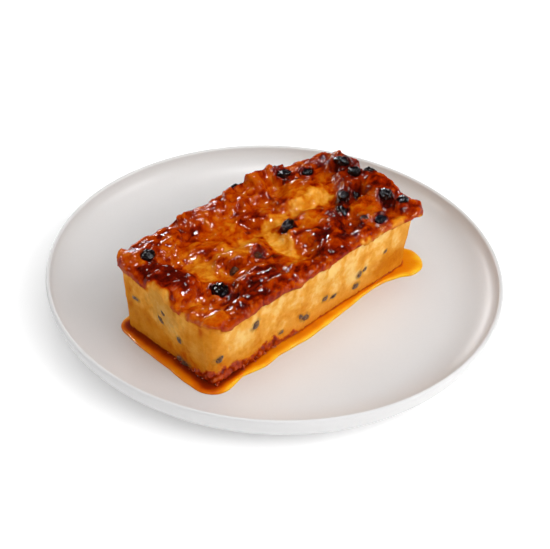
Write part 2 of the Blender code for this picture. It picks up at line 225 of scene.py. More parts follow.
# How far the top is baked, painted in this order: along, across, length, width, turn, level
BAKED = [
    (36, 4, 66, 28, 0, 0.80),
    (94, 6, 50, 30, 0, 0.84),
    (28, 67, 76, 15, 2, 0.70),
    (88, 66, 42, 14, 0, 0.56),
    (67, 68, 16, 12, 0, 0.76),
    (146, 40, 34, 80, 0, 0.71),
    (26, 56, 34, 16, 10, 0.58),
    (6, 38, 30, 34, 0, 0.94),
    (5, 14, 30, 20, 0, 0.46),
    (1, 2, 26, 13, 0, 0.48),
    (-2, 66, 12, 14, 0, 0.52),
    (28, 38, 17, 30, 0, 0.34),
    (33, 26, 10, 12, 0, 0.46),
    (56, 52, 38, 22, 0, 0.50),
    (52, 37, 38, 15, -4, 0.34),
    (46, 24, 22, 12, 0, 0.66),
    (59, 21, 20, 18, 0, 0.78),
    (73, 26, 15, 36, 4, 0.24),
    (66, 9, 15, 10, 12, 0.40),
    (84, 41, 24, 10, 0, 0.28),
    (78, 54, 18, 22, 0, 0.66),
    (88, 51, 16, 14, 30, 0.58),
    (112, 52, 34, 20, 0, 0.48),
    (112, 40, 42, 14, 0, 0.24),
    (127, 50, 22, 18, 0, 0.56),
    (128, 61, 24, 12, 0, 0.76),
    (97, 26, 18, 14, 0, 0.46),
    (82, 13, 14, 16, 0, 0.60),
    (96, 9, 26, 16, 0, 0.84),
    (110, 20, 26, 11, 46, 0.92),
    (130, 13, 24, 20, 0, 0.52),
    (133, 18, 14, 10, 30, 0.66),
    (130, 30, 26, 10, 20, 0.78),
    (134, -4, 12, 9, 0, 0.28),
    (150, -2, 18, 16, 0, 0.86),
    (144, 64, 18, 16, 0, 0.72),
    (150, 26, 16, 24, 0, 0.74),
    (148, 41, 20, 22, 20, 0.86),
    (146, 8, 16, 18, 40, 0.80),
    (116, 68, 14, 14, 0, 0.80),
    (104, 66, 14, 9, 10, 0.58),
    (140, 54, 12, 12, 0, 0.62),
]

# Level of baking on the sides: along, across, up, and the three half sizes, then the level
SIDE_BAKED = [
    (70, -2, 6, 95, 12, 9, 0.18),
    (134, -2, 12, 20, 12, 14, 0.34),
    (146, -2, 26, 8, 12, 14, 0.20),
    (-4, 4, 22, 10, 16, 26, 0.26),
    (-4, 50, 8, 10, 26, 14, 0.24),
    # This pale patch on the left end is painted sheen and shade, with a grey-brown tint laid on it in the
    # material.
    (-4, 33, 28, 10, 16, 16, 0.08),
    (30, 70, 20, 40, 12, 20, 0.12),
]

# Ridges in the crust: their two ends along and across, height, half width
PLEATS = [
    (-4, 52, 8, 50, 1.8, 2.4),
    (8, 50, 22, 51, 1.8, 2.6),
    (22, 60, 40, 64, 1.6, 2.4),
    (30, 18, 32, 13, 1.2, 1.6),
    (32, 13, 52, 18, 1.2, 1.8),
    (45, 69, 63, 65, 1.4, 2.2),
    (63, 64, 80, 62, 1.4, 2.2),
    (79, 60, 97, 60, 1.4, 2.0),
    (97, 60, 105, 65, 1.4, 2.0),
    (95, 44, 96, 52, 1.2, 1.6),
    (96, 52, 101, 58, 1.2, 1.6),
    (84, 47, 93, 53, 1.2, 2.0),
    (33, 46, 38, 40, 0.9, 1.6),
    (38, 40, 44, 33, 0.9, 1.6),
    (50, 16, 60, 20, 1.1, 1.8),
    (78, 18, 84, 10, 1.0, 1.6),
    (141, 31, 143, 22, 1.2, 1.8),
    (133, 4, 140, 4, 1.2, 2.2),
    (2, 30, 12, 27, 1.1, 2.4),
    (20, 4, 34, 6, 1.0, 2.2),
    (36, 3, 50, 1, 1.0, 2.2),
    (74, 44, 78, 46, 1.4, 1.8),
    (1, 61, 13, 63, 1.5, 2.2),
    (13, 56, 29, 58, 1.4, 2.0),
    (25, 67, 41, 68, 1.5, 2.2),
    (40, 60, 55, 59, 1.3, 1.8),
    (53, 69, 68, 69, 1.4, 2.0),
    (10, 43, 19, 46, 1.2, 1.8),
]

# Currants in the sides: side, along it, height above the base, length, height, turn in degrees
CURRANTS = [
    ("near", 27, 27, 5.0, 3.6, 60),
    ("near", 3, 17, 3.6, 2.6, 30),
    ("near", 66, 8.5, 5.2, 3.2, -30),
    ("near", 62, 11.5, 3.4, 2.2, -50),
    ("near", 81, 13.5, 3.6, 2.8, 0),
    ("near", 88, 11.5, 4.4, 2.2, 15),
    ("near", 108, 16, 3.8, 3.4, 40),
    ("near", 112, 17.5, 2.8, 1.8, 30),
    ("near", 107, 8, 4.6, 3.0, 0),
    ("near", 48, 8.5, 3.0, 1.8, 10),
    ("near", 128, 22, 2.4, 1.4, 20),
    ("left", 22.5, 18, 3.4, 2.8, 60),
    ("left", 22, 2.6, 8.0, 5.0, 5),
    ("left", 55, 26, 4.4, 1.8, 10),
    ("left", 36, 24, 4.6, 1.8, -50),
    ("left", 33, 30, 3.0, 1.4, -40),
    ("far", 20, 16, 4.4, 3.2, 20),
    ("far", 52, 27, 3.8, 2.6, -30),
    ("far", 70, 11, 5.0, 3.2, 10),
    ("far", 96, 22, 4.2, 2.8, 60),
    ("far", 118, 9, 4.8, 3.0, -15),
    ("far", 136, 28, 3.4, 2.4, 0),
    ("right", 14, 20, 4.4, 3.0, 30),
    ("right", 31, 10, 4.8, 3.0, -20),
    ("right", 44, 27, 3.6, 2.6, 10),
    ("right", 58, 14, 4.0, 2.6, 50),
]

# Place of each side's face, across the loaf or along it
SIDE_FACES = {"near": -2.0, "far": LOAF_WIDTH + 2.0, "left": -2.0, "right": LOAF_LENGTH + 2.0}

CURRANT_HALF = 1.5
CURRANT_SUNK = 0.9
CURRANT_BALL = (20, 12)
BIT_BALL = (12, 8)
BIT_COUNT = 26

# Where the caramel bits lie: side, length along it, crowding to its start, share of the bits so far
BIT_SIDES = [("near", 44.0, 1.0, 0.62), ("left", 34.0, 1.5, 0.9), ("far", 150.0, 1.0, 1.0)]

# Colours from pale custard to burnt caramel: how far baked, screen values
BAKED_COLOURS = [
    (0.00, 248, 202, 120),
    (0.12, 236, 167, 68),
    (0.28, 214, 131, 26),
    (0.44, 190, 86, 4),
    (0.60, 176, 58, 0),
    (0.76, 140, 29, 0),
    (0.90, 92, 12, 2),
    (1.00, 26, 6, 4),
]

# Colours of the syrup from thin to burnt: how burnt, screen values
SYRUP_COLOURS = [
    (0.00, 244, 184, 34),
    (0.20, 230, 138, 2),
    (0.45, 206, 96, 0),
    (0.72, 146, 38, 0),
    (1.00, 60, 8, 2),
]

# Camera
FOCAL_PIXELS = 1200.0
PICTURE_SIZE = (550, 549)
SENSOR_WIDTH = 36.0
CAMERA_TARGET = (14.35, 13.26, 0.0)
CAMERA_DISTANCE = 690.6
CAMERA_DOWN = 37.23
CAMERA_TURN = -47.2
CAMERA_ROLL = 2.65

# Lights, in metres: name, place, size, power, and whether they show in diffuse light or in gloss
LIGHTS = [
    ("key", (0.35, -1.15, 0.85), (1.0, 1.0), 9.0, "diffuse"),
    ("top", (0.05, -0.25, 1.35), (2.0, 2.0), 13.0, "diffuse"),
    ("left_fill", (-1.3, -0.1, 0.6), (0.9, 0.9), 1.1, "diffuse"),
    ("key_gloss", (0.78, -0.80, 0.90), (0.20, 0.20), 6.0, "gloss"),
    ("far_spark", (0.40, 1.2, 0.22), (1.0, 0.07), 10.0, "gloss"),
    ("left_spark", (-0.75, 1.0, 0.62), (0.18, 0.18), 6.0, "gloss"),
    ("top_spark", (0.10, 0.0, 1.3), (0.18, 0.18), 7.0, "gloss"),
]
LIGHT_TARGET = (0.0, 0.0, 0.03)
BRIGHT_WAY = (0.40, -0.75, 0.50)
WORLD_STRENGTH = (0.10, 0.65)


def smooth(t):
    """A ramp from 0 to 1 that starts and ends level."""
    t = np.clip(t, 0.0, 1.0)
    return t * t * (3.0 - 2.0 * t)


def blend(a, b, share):
    """From a to b by share."""
    return a + (b - a) * share


def lattice(ix, iy, iz, seed):
    """A fixed number from 0 to 1 for each lattice point."""
    mixed = (ix * 73856093) ^ (iy * 19349663) ^ (iz * 83492791) ^ (seed * 40503)
    for _ in range(2):
        mixed = mixed & 0xFFFFFFFF
        mixed = (mixed ^ (mixed >> 16)) * 73244475
    mixed = mixed & 0xFFFFFFFF
    return ((mixed ^ (mixed >> 16)) & 0xFFFF) / 65535.0


def cell_corners(corner, share):
    """Each corner of the cell round every point: the step to it, its lattice point and its weight."""
    for steps in itertools.product((0, 1), repeat=3):
        weight = 1.0
        for axis, step in enumerate(steps):
            weight = weight * (share[..., axis] if step else 1.0 - share[..., axis])
        yield steps, [corner[..., axis] + step for axis, step in enumerate(steps)], weight


def noise(points, cell, seed):
    """Smooth noise from -1 to 1 whose lumps are about one cell across."""
    scaled = np.asarray(points, float) / cell
    corner = np.floor(scaled).astype(np.int64)
    total = np.zeros(scaled.shape[:-1])
    for _, at, weight in cell_corners(corner, smooth(scaled - corner)):
        total += weight * lattice(*at, seed)
    return 2.0 * total - 1.0


def fine_noise(points, cell, seed):
    """Gradient noise from about -1 to 1, with no trace of its lattice."""
    scaled = np.asarray(points, float) / cell
    corner = np.floor(scaled).astype(np.int64)
    offset = scaled - corner
    share = offset**3 * (offset * (offset * 6.0 - 15.0) + 10.0)
    total = np.zeros(scaled.shape[:-1])
    for steps, at, weight in cell_corners(corner, share):
        turn = 2.0 * math.pi * lattice(*at, seed)
        lift = 2.0 * lattice(*at, seed + 57) - 1.0
        flat = np.sqrt(1.0 - lift**2)
        x, y, z = (offset[..., axis] - step for axis, step in enumerate(steps))
        total += weight * (np.cos(turn) * flat * x + np.sin(turn) * flat * y + lift * z)
    return 1.7 * total


def warped(spots, cell, amount, seed):
    """The spots moved about by noise, so that patterns laid on them swirl."""
    shift = [fine_noise(spots, cell, seed + i) for i in range(3)]
    return spots + amount * np.stack(shift, axis=-1)


def bell(distance):
    """1 at no distance, falling away to 0 on both sides."""
    return np.exp(-(distance**2))


def spun(x, y, angle):
    """A flat place turned about the origin by an angle in radians."""
    return x * math.cos(angle) - y * math.sin(angle), x * math.sin(angle) + y * math.cos(angle)


def raised(points, heights):
    """Flat points given their heights."""
    heights = np.broadcast_to(heights, points.shape[:-1])
    return np.concatenate([points, heights[..., None]], axis=-1)


def away_from(spots, along, across):
    """How far spots are from a place, seen from above."""
    return np.hypot(spots[..., 0] - along, spots[..., 1] - across)


def ellipse_reach(places, along, across, length, width, turn):
    """How far places are from an ellipse's middle, 1 on its outline."""
    x, y = spun(places[..., 0] - along, places[..., 1] - across, -math.radians(turn))
    return np.hypot(x / (length / 2), y / (width / 2))


def plan(square):
    """Moves points of the square from -1 to 1 onto the rounded rectangle of the loaf's top."""
    flat = square * TOP_HALF
    core = np.clip(flat, -TOP_INNER, TOP_INNER)
    over = (flat - core) / LOAF_CORNER
    length = np.hypot(over[..., 0], over[..., 1])
    longest = np.abs(over).max(axis=-1)
    factor = np.where(length > 1e-9, longest / np.maximum(length, 1e-9), 1.0)
    return core + over * factor[..., None] * LOAF_CORNER


def outward(points):
    """Unit vectors away from the middle of the rounded rectangle, zero where it is level."""
    away = points - np.clip(points, -TOP_INNER, TOP_INNER)
    return away / np.maximum(np.linalg.norm(away, axis=-1, keepdims=True), 1e-9)


def rim_depth(points):
    """How far points are inside the rounded rectangle, at most its corner radius."""
    over = np.maximum(np.abs(points) - TOP_INNER, 0.0)
    return LOAF_CORNER - np.hypot(over[..., 0], over[..., 1])


def bearing(points):
    """The turn of each point about the loaf's centre, in degrees."""
    return np.degrees(np.arctan2(points[..., 1], points[..., 0]))


def spread_sum(turns, table):
    """The sum of the table's bumps at each turn: where it is, how much, and how wide."""
    total = np.zeros(turns.shape)
    for turn, amount, spread in table:
        away = (turns - turn + 180.0) % 360.0 - 180.0
        total = total + amount * bell(away / spread)
    return total


def bread_rise(places, spots):
    """How far the bread pieces stand above the custard, at places on the loaf."""
    rise = np.zeros(places.shape[:-1])
    ragged = 0.22 * noise(spots, 8.0, 5) + 0.12 * noise(spots, 4.0, 6)
    for *ellipse, height in BREAD:
        piece = height * smooth((1.0 - ellipse_reach(places, *ellipse) + ragged) / BREAD_SLOPE)
        rise = np.maximum(rise, piece) + 0.25 * np.minimum(rise, piece)
    return rise


def edge_drop(points):
    """How far the top has rounded down at points of the rounded rectangle."""
    near = np.clip(CRUST_ROUNDING - rim_depth(points), 0.0, CRUST_ROUNDING)
    return CRUST_ROUNDING - np.sqrt(CRUST_ROUNDING**2 - near**2)


def top_height(places, flat):
    """Height of the top above the loaf's base, where flat is each place before the rim's reach."""
    tilt = FAR_SIDE_RISE * (places[..., 1] / LOAF_WIDTH - 0.5)
    tilt = tilt + FAR_END_RISE * (places[..., 0] / LOAF_LENGTH - 0.5)
    spots = raised(places, 0.0)
    lumps = 0.8 * noise(spots, 9.0, 3) + 0.6 * noise(spots, 5.0, 4)
    creases = CREASE_DEPTH * (1.0 - np.abs(noise(spots, 15.0, 8))) ** 5
    rim = RIM_RISE * smooth(1.0 - rim_depth(flat) / LOAF_CORNER)
    rise = np.maximum(bread_rise(places, spots), rim)
    return CUSTARD_HEIGHT + tilt + rise + lumps - creases - edge_drop(flat)


def rim_reach(points):
    """How far the crust is pushed outwards from points of the rounded rectangle."""
    reach = CRUST_OVERHANG + spread_sum(bearing(points), CRUST_REACHES)
    return reach * smooth(1.0 - rim_depth(points) / LOAF_CORNER)


def side_ring(rim, heights, push):
    """Points of the loaf's side below its rim, moved outwards by push and by its unevenness."""
    inset = TIN_TAPER * (1.0 - heights / CRUST_LINE)
    spots = raised(rim, heights)
    wave = 0.7 * noise(spots, 16.0, 11) + 0.3 * noise(spots, 7.0, 12)
    return rim + outward(rim) * (push + wave - inset)[:, None]


def loaf_grid():
    """The square grid over the top, and the rows and columns of its edge in order."""
    along = np.linspace(-1.0, 1.0, GRID_ALONG + 1)
    across = np.linspace(-1.0, 1.0, GRID_ACROSS + 1)
    grid = np.stack(np.meshgrid(along, across, indexing="ij"), axis=-1)
    near = [(i, 0) for i in range(GRID_ALONG)]
    right = [(GRID_ALONG, j) for j in range(GRID_ACROSS)]
    far = [(GRID_ALONG - i, GRID_ACROSS) for i in range(GRID_ALONG)]
    left = [(0, GRID_ACROSS - j) for j in range(GRID_ACROSS)]
    return grid, tuple(np.array(near + right + far + left).T)


def to_places(points):
    """From the loaf's centre to its near left base corner."""
    return points + LOAF_HALF


def to_frame(points, heights):
    """From the loaf's centre and base to the plate's frame, in millimetres."""
    return raised(points + LOAF_CENTRE, heights + LOAF_BASE)


def surface_height(along, across):
    """Height above the loaf's base of the plain top at one place."""
    place = np.array([along, across]) - LOAF_HALF
    flat = place
    for _ in range(REACH_PASSES):
        flat = place - rim_reach(flat) * outward(flat)
    return float(top_height(np.array([along, across]), flat))


def floor_height(radius):
    """Height of the plate's upper surface at a distance from its centre."""
    reach = PLATE_RADIUS - 2 * LIP_RADIUS - FLOOR_RADIUS
    share = np.clip((radius - FLOOR_RADIUS) / reach, 0.0, 1.0)
    lip_height = PLATE_HEIGHT - LIP_RADIUS
    return lip_height - (lip_height - FLOOR_HEIGHT) * np.sqrt(1.0 - share**2)


def mesh_object(name, vertices, faces, material):
    """An object from vertices in millimetres, shaded smooth."""
    mesh = bpy.data.meshes.new(name)
    mesh.from_pydata((np.asarray(vertices) * METRES).tolist(), [], faces)
    mesh.update()
    mesh.shade_smooth()
    mesh.materials.append(material)
    thing = bpy.data.objects.new(name, mesh)
    bpy.context.scene.collection.objects.link(thing)
    return thing


def set_attributes(thing, **attributes):
    """A number for each vertex under each name, for the material to read."""
    for name, values in attributes.items():
        layer = thing.data.attributes.new(name, "FLOAT", "POINT")
        layer.data.foreach_set("value", np.asarray(values, dtype=np.float32))


def linear(red, green, blue):
    """A colour from its 0 to 255 screen values."""
    parts = []
    for part in (red, green, blue):
        c = part / 255.0
        parts.append(c / 12.92 if c <= 0.04045 else ((c + 0.055) / 1.055) ** 2.4)
    return (*parts, 1.0)


class Nodes:
    """A material's node tree with short ways to add and join nodes."""

    def __init__(self, name):
        self.material = bpy.data.materials.new(name)
        self.material.use_nodes = True
        self.tree = self.material.node_tree
        self.shader = self.tree.nodes["Principled BSDF"]

    def add(self, kind, inputs=None, **settings):
        node = self.tree.nodes.new(kind)
        for key, value in settings.items():
            setattr(node, key, value)
        for key, value in (inputs or {}).items():
            self.join(value, node.inputs[key])
        return node

    def join(self, value, socket):
        if isinstance(value, bpy.types.NodeSocket):
            self.tree.links.new(value, socket)
        else:
            socket.default_value = value

    def read(self, name):
        return self.add("ShaderNodeAttribute", attribute_name=name).outputs["Fac"]

    def place(self):
        return self.add("ShaderNodeTexCoord").outputs["Object"]

    def noise(self, scale, detail=3.0, roughness=0.55, distortion=0.0, vector=None):
        inputs = {"Scale": scale, "Detail": detail, "Roughness": roughness, "Distortion": distortion}
        inputs["Vector"] = vector or self.place()
        return self.add("ShaderNodeTexNoise", inputs).outputs["Fac"]

    def maths(self, operation, a, b=0.0, clamp=False):
        node = self.add("ShaderNodeMath", {0: a, 1: b}, operation=operation)
        node.use_clamp = clamp
        return node.outputs[0]

    def swing(self, *settings):
        return self.maths("SUBTRACT", self.noise(*settings), 0.5)

    def plus(self, a, b, times, clamp=False):
        return self.maths("ADD", a, self.maths("MULTIPLY", b, times), clamp)

    def ramp(self, value, stops):
        node = self.add("ShaderNodeValToRGB", {"Fac": value})
        elements = node.color_ramp.elements
        while len(elements) < len(stops):
            elements.new(0.5)
        for element, (where, *shade) in zip(elements, stops):
            element.position = where
            element.color = linear(*shade)
        return node.outputs["Color"]

    def stretch(self, value, low, high, to_low, to_high):
        inputs = {"Value": value, "From Min": low, "From Max": high, "To Min": to_low, "To Max": to_high}
        return self.add("ShaderNodeMapRange", inputs).outputs["Result"]

    def bump(self, height, strength, distance, normal=None):
        inputs = {"Height": height, "Strength": strength, "Distance": distance}
        if normal is not None:
            inputs["Normal"] = normal
        return self.add("ShaderNodeBump", inputs).outputs["Normal"]

    def surface(self, **values):
        for key, value in values.items():
            self.join(value, self.shader.inputs[key.replace("_", " ")])
        return self.material


def pudding_material():
    """Caramelised crust and custard, coloured by how far each place is baked, plus painted shade and
    sheen.
    """
    m = Nodes("baked_pudding")
    craggy = m.read("craggy")
    level = m.plus(m.read("baked"), m.swing(330.0, 4.0, 0.6), m.stretch(craggy, 0.2, 1.0, 0.16, 0.32))
    level = m.plus(level, m.swing(1000.0, 3.0, 0.6), m.stretch(craggy, 0.2, 1.0, 0.12, 0.20), clamp=True)
    # Grey-brown film: currants seen through the custard, and a painted sheen and shade on the left end.
    film = m.add("ShaderNodeMix", {"Factor": m.read("dusk")}, data_type="RGBA")
    m.join(m.ramp(level, BAKED_COLOURS), film.inputs["A"])
    m.join(linear(132, 86, 44), film.inputs["B"])
    height = m.plus(m.noise(820.0, 3.0, 0.6), m.noise(2100.0, 2.0), 0.35)
    rugged = m.stretch(craggy, 0.0, 1.0, 0.3, 1.0)
    drawn = m.add("ShaderNodeVectorMath", {0: m.place(), 1: (0.3, 1.0, 1.0)}, operation="MULTIPLY")
    wrinkles = m.noise(480.0, 1.0, 0.5, 0.5, drawn.outputs["Vector"])
    gloss = m.stretch(m.read("glossy"), 0.0, 1.0, 0.2, 0.8)
    return m.surface(
        Base_Color=film.outputs["Result"],
        Roughness=m.stretch(m.read("crust"), 0.0, 1.0, 0.46, 0.34),
        Normal=m.bump(m.maths("MULTIPLY", height, rugged), 1.0, 0.0009),
        Coat_Normal=m.bump(m.maths("MULTIPLY", wrinkles, rugged), 1.0, 0.0005),
        Coat_Weight=m.maths("MULTIPLY", gloss, m.read("sticky")),
        Coat_Roughness=0.03,
        Specular_IOR_Level=0.0,
        Subsurface_Weight=0.25,
        Subsurface_Radius=(1.0, 0.4, 0.08),
        Subsurface_Scale=0.0012,
    )


def mottled_material(name, scale, stops, rough, grain, bump, **values):
    """A material coloured by noise of this scale, with a grain of its own for its bump."""
    m = Nodes(name)
    tint = m.noise(scale, 3.0, 0.6)
    return m.surface(
        Base_Color=m.ramp(tint, stops),
        Roughness=m.stretch(tint, 0.3, 0.7, *rough),
        Normal=m.bump(m.noise(*grain), *bump),
        **values,
    )


def raisin_material(name, dark, middle, light):
    """The dark, sticky skin of a raisin, in its shades from dark to light."""
    stops = [(0.40, *dark), (0.60, *middle), (0.78, *light)]
    grain = (300.0, 1.0, 0.5, 0.4)
    gloss = {"Specular_IOR_Level": 0.0, "Coat_Weight": 0.9, "Coat_Roughness": 0.03}
    return mottled_material(name, 420.0, stops, (0.5, 0.6), grain, (0.22, 0.0005), **gloss)


def currant_material():
    """A currant seen through a film of custard."""
    stops = [(0.3, 46, 28, 20), (0.5, 86, 56, 34), (0.70, 158, 106, 50)]
    grain = (1900.0, 3.0, 0.6)
    gloss = {"Coat_Weight": 0.3, "Coat_Roughness": 0.15}
    return mottled_material("currant_skin", 700.0, stops, (0.35, 0.5), grain, (0.3, 0.0002), **gloss)


def syrup_material():
    """Clear amber syrup, dark by the loaf and bright where it thins."""
    m = Nodes("amber_syrup")
    drift = m.swing(240.0, 3.0, 0.6)
    return m.surface(
        Base_Color=m.ramp(m.plus(m.read("burnt"), drift, 0.18, clamp=True), SYRUP_COLOURS),
        Roughness=m.stretch(drift, -0.3, 0.3, 0.24, 0.34),
        Normal=m.bump(m.noise(500.0, 2.0), 0.15, 0.0003),
        Specular_IOR_Level=0.1,
        Coat_Weight=0.35,
        Coat_Roughness=0.04,
        Subsurface_Weight=0.5,
        Subsurface_Radius=(1.0, 0.4, 0.05),
        Subsurface_Scale=0.002,
    )


def bits_material():
    """Scraps of burnt caramel."""
    stops = [(0.3, 96, 16, 5), (0.5, 152, 40, 6), (0.7, 210, 96, 10)]
    return mottled_material(
        "caramel_bits",
        500.0,
        stops,
        (0.2, 0.35),
        (1500.0, 2.0),
        (0.3, 0.0002),
        Coat_Weight=1.0,
        Coat_Roughness=0.08,
        Subsurface_Weight=0.3,
        Subsurface_Radius=(1.0, 0.3, 0.08),
        Subsurface_Scale=0.0015,
    )


def plate_material():
    """Off-white satin glaze with a faint unevenness."""
    m = Nodes("satin_glaze")
    cloud = m.noise(14.0, 3.0, 0.5)
    mixed = m.plus(m.maths("MULTIPLY", cloud, 0.7), m.noise(900.0, 2.0, 0.5), 0.3)
    return m.surface(
        Base_Color=m.ramp(mixed, [(0.3, 211, 210, 210), (0.7, 216, 215, 215)]),
        Roughness=m.stretch(cloud, 0.3, 0.7, 0.40, 0.48),
        Normal=m.bump(m.noise(160.0, 4.0, 0.6), 0.05, 0.0004),
        Coat_Weight=0.15,
        Coat_Roughness=0.3,
    )


def floor_material():
    """Plain white studio floor."""
    m = Nodes("studio_floor")
    return m.surface(
        Base_Color=m.ramp(m.noise(3.0, 2.0), [(0.3, 252, 252, 252), (0.7, 255, 255, 255)]),
        Roughness=0.9,
        Specular_IOR_Level=0.1,
        Emission_Color=(1.0, 1.0, 1.0, 1.0),
        Emission_Strength=0.155,
    )


def turned(section, segments):
    """Points and faces of a section of radius and height, turned about the upright axis pole to pole."""
    swings = 2 * math.pi * np.arange(segments) / segments
    points = [(0.0, 0.0, section[0][1])]
    for radius, height in section[1:-1]:
        points += [(radius * math.cos(swing), radius * math.sin(swing), height) for swing in swings]
    points.append((0.0, 0.0, section[-1][1]))
    last = len(points) - 1
    lowest = last - segments
    faces = []
    for step in range(segments):
        following = (step + 1) % segments
        faces.append((0, 1 + step, 1 + following))
        for upper in range(1, lowest, segments):
            lower = upper + segments
            faces.append((upper + step, lower + step, lower + following, upper + following))
        faces.append((last, lowest + following, lowest + step))
    return points, faces


def plate_section():
    """Radius and height down the outside of the plate's section, from its top centre to its foot."""
    lip_height = PLATE_HEIGHT - LIP_RADIUS
    inner = PLATE_RADIUS - 2 * LIP_RADIUS
    points = [(0.0, FLOOR_HEIGHT)] + [(radius, FLOOR_HEIGHT) for radius in FLOOR_RINGS]
    for step in range(WALL_STEPS + 1):
        turn = math.pi / 2 * step / WALL_STEPS
        radius = FLOOR_RADIUS + (inner - FLOOR_RADIUS) * math.sin(turn)
        points.append((radius, lip_height - (lip_height - FLOOR_HEIGHT) * math.cos(turn)))
    for step in range(1, LIP_STEPS):
        turn = math.pi * (1 - step / LIP_STEPS)
        centre = PLATE_RADIUS - LIP_RADIUS
        points.append((centre + LIP_RADIUS * math.cos(turn), lip_height + LIP_RADIUS * math.sin(turn)))
    for step in range(WALL_STEPS + 1):
        turn = math.pi / 2 * (1 - step / WALL_STEPS)
        radius = FLOOR_RADIUS + (PLATE_RADIUS - FLOOR_RADIUS) * math.sin(turn)
        points.append((radius, lip_height - (lip_height - UNDERSIDE_HEIGHT) * math.cos(turn)))
    points += [(FOOT_OUTER_RADIUS + out, height) for out, height in FOOT_OUTSIDE]
    points += [(FOOT_INNER_RADIUS + out, height) for out, height in FOOT_INSIDE]
    return points + [(0.0, RECESS_HEIGHT)]


def make_plate():
    """The plate, turned from its section."""
    vertices, faces = turned(plate_section(), PLATE_SEGMENTS)
    return mesh_object("plate_glazed", vertices, faces, plate_material())


def pleat_rise(places):
    """How far the ridges stand up, at places on the loaf."""
    rise = np.zeros(places.shape[:-1])
    for from_x, from_y, to_x, to_y, height, width in PLEATS:
        start = np.array([from_x, from_y])
        run = np.array([to_x - from_x, to_y - from_y])
        share = np.clip(((places - start) @ run) / (run @ run), 0.0, 1.0)
        away = np.linalg.norm(places - start - share[..., None] * run, axis=-1)
        rise = np.maximum(rise, 0.55 * height * bell(away / (0.8 * width)))
    return rise


def raisin_sockets(places, heights):
    """Lowers the top under each raisin and puckers it round the raisin's edge."""
    for along, across, length, width, height, turn, sunk in RAISINS:
        reach = ellipse_reach(places, along, across, length - 0.4, width - 0.4, turn)
        near = reach < 2.2
        if not near.any():
            continue
        middle = surface_height(along, across) + (0.5 - sunk) * height
        pucker = 0.9 * bell((reach - 1.18) / 0.24)
        half = (height / 2 - 0.3) * np.sqrt(np.clip(1.0 - reach**2, 0.0, 1.0))
        lifted = heights + np.where(near, pucker, 0.0)
        inside = (reach < 1.0) & (middle + half > heights)
        heights = np.where(inside, np.minimum(lifted, middle - half), lifted)
    return heights


def bake_top(spots):
    """How far the top is baked at each spot."""
    moved = warped(spots, 7.0, 1.6, 301)
    ragged = 0.30 * fine_noise(moved, 5.0, 311) + 0.22 * fine_noise(moved, 2.4, 312)
    level = np.full(len(spots), 0.66)
    for *ellipse, value in BAKED:
        level = blend(level, value, smooth((1.12 - ellipse_reach(moved, *ellipse) + ragged) / 0.62))
    wisps = warped(spots * np.array([0.7, 1.0, 1.0]), 6.0, 2.6, 391)
    even = ellipse_reach(spots, 56.0, 52.0, 40.0, 24.0, 0.0)
    streaky = blend(0.35, 1.0, smooth((even - 0.8) / 0.4))
    return level + streaky * (0.13 * fine_noise(wisps, 4.4, 395) + 0.05 * fine_noise(wisps, 1.8, 396))


def crust_relief(spots, level):
    """At each spot, how far the crust stands out, the painted shade in its cracks, and how craggy it is.
    """
    swirl = warped(spots * np.array([0.62, 1.0, 1.0]), 9.0, 3.0, 361)
    calm = blend(0.34, 1.0, smooth((level - 0.36) / 0.3))
    broad = fine_noise(swirl, 7.0, 371)
    sheets = smooth(fine_noise(swirl, 5.4, 372) / 0.3 + 0.5) - 0.5
    scraps = smooth(fine_noise(swirl, 2.9, 373) / 0.4 + 0.5) - 0.5
    knobs = np.abs(fine_noise(swirl, 3.8, 374)) - 0.3
    grains = fine_noise(swirl, 1.6, 375)
    cracks = smooth(1.0 - np.abs(fine_noise(swirl, 5.0, 379)) / 0.13)
    cracks = cracks * smooth(fine_noise(spots, 8.0, 380) / 0.5 + 0.75)
    crags = 0.15 * broad + 0.34 * sheets + 0.50 * scraps + 0.25 * knobs + 0.13 * grains - 0.40 * cracks
    glaze = -0.26 + 0.16 * fine_noise(spots, 8.0, 376)
    apart = crags - glaze
    filled = glaze + 0.5 * (apart + np.sqrt(apart**2 + 0.006))
    # Painted shade: cracks and hollows are made darker and raised sheets and scraps lighter, with random
    # tone mixed in.
    crease_shade_and_tone = 0.16 * cracks - 0.12 * sheets - 0.13 * scraps + 0.12 * fine_noise(spots, 5.0, 377)
    dull = ellipse_reach(spots, *DULL_PATCH, 30.0, 28.0, 0.0)
    calm = calm * blend(0.5, 1.0, smooth((dull - 0.8) / 0.4))
    return calm * filled, calm * crease_shade_and_tone, calm


def raisin_nearness(spots, reach, fade):
    """1 at the raisins, falling to 0 where reach times their size is passed."""
    near = np.zeros(spots.shape[:-1])
    for along, across, length, width, _, turn, _ in RAISINS:
        away = ellipse_reach(spots, along, across, length, width, turn)
        near = np.maximum(near, smooth((reach - away) / fade))
    return near


def bare_raisins_only(spots):
    """0 at the deeply sunk raisins, which darken the crust little, and 1 elsewhere."""
    share = np.ones(spots.shape[:-1])
    for along, across, length, width, _, turn, sunk in RAISINS:
        if sunk >= DEEPLY_SUNK:
            away = ellipse_reach(spots, along, across, length, width, turn)
            share = share * smooth((away - 1.4) / 0.8)
    return share


def raisin_shade(spots):
    """How dark the crust is round the raisins, further out where they lie together at the right end."""
    moved = warped(spots, 5.0, 2.2, 387)
    single = raisin_nearness(moved, 1.45, 0.5)
    together = 0.62 * raisin_nearness(moved, 1.75, 0.8) * smooth((moved[:, 0] - 104.0) / 14.0)
    shade = np.maximum(single, together) * smooth(0.85 + 0.6 * fine_noise(spots, 3.0, 378))
    return shade * blend(0.25, 1.0, bare_raisins_only(spots))


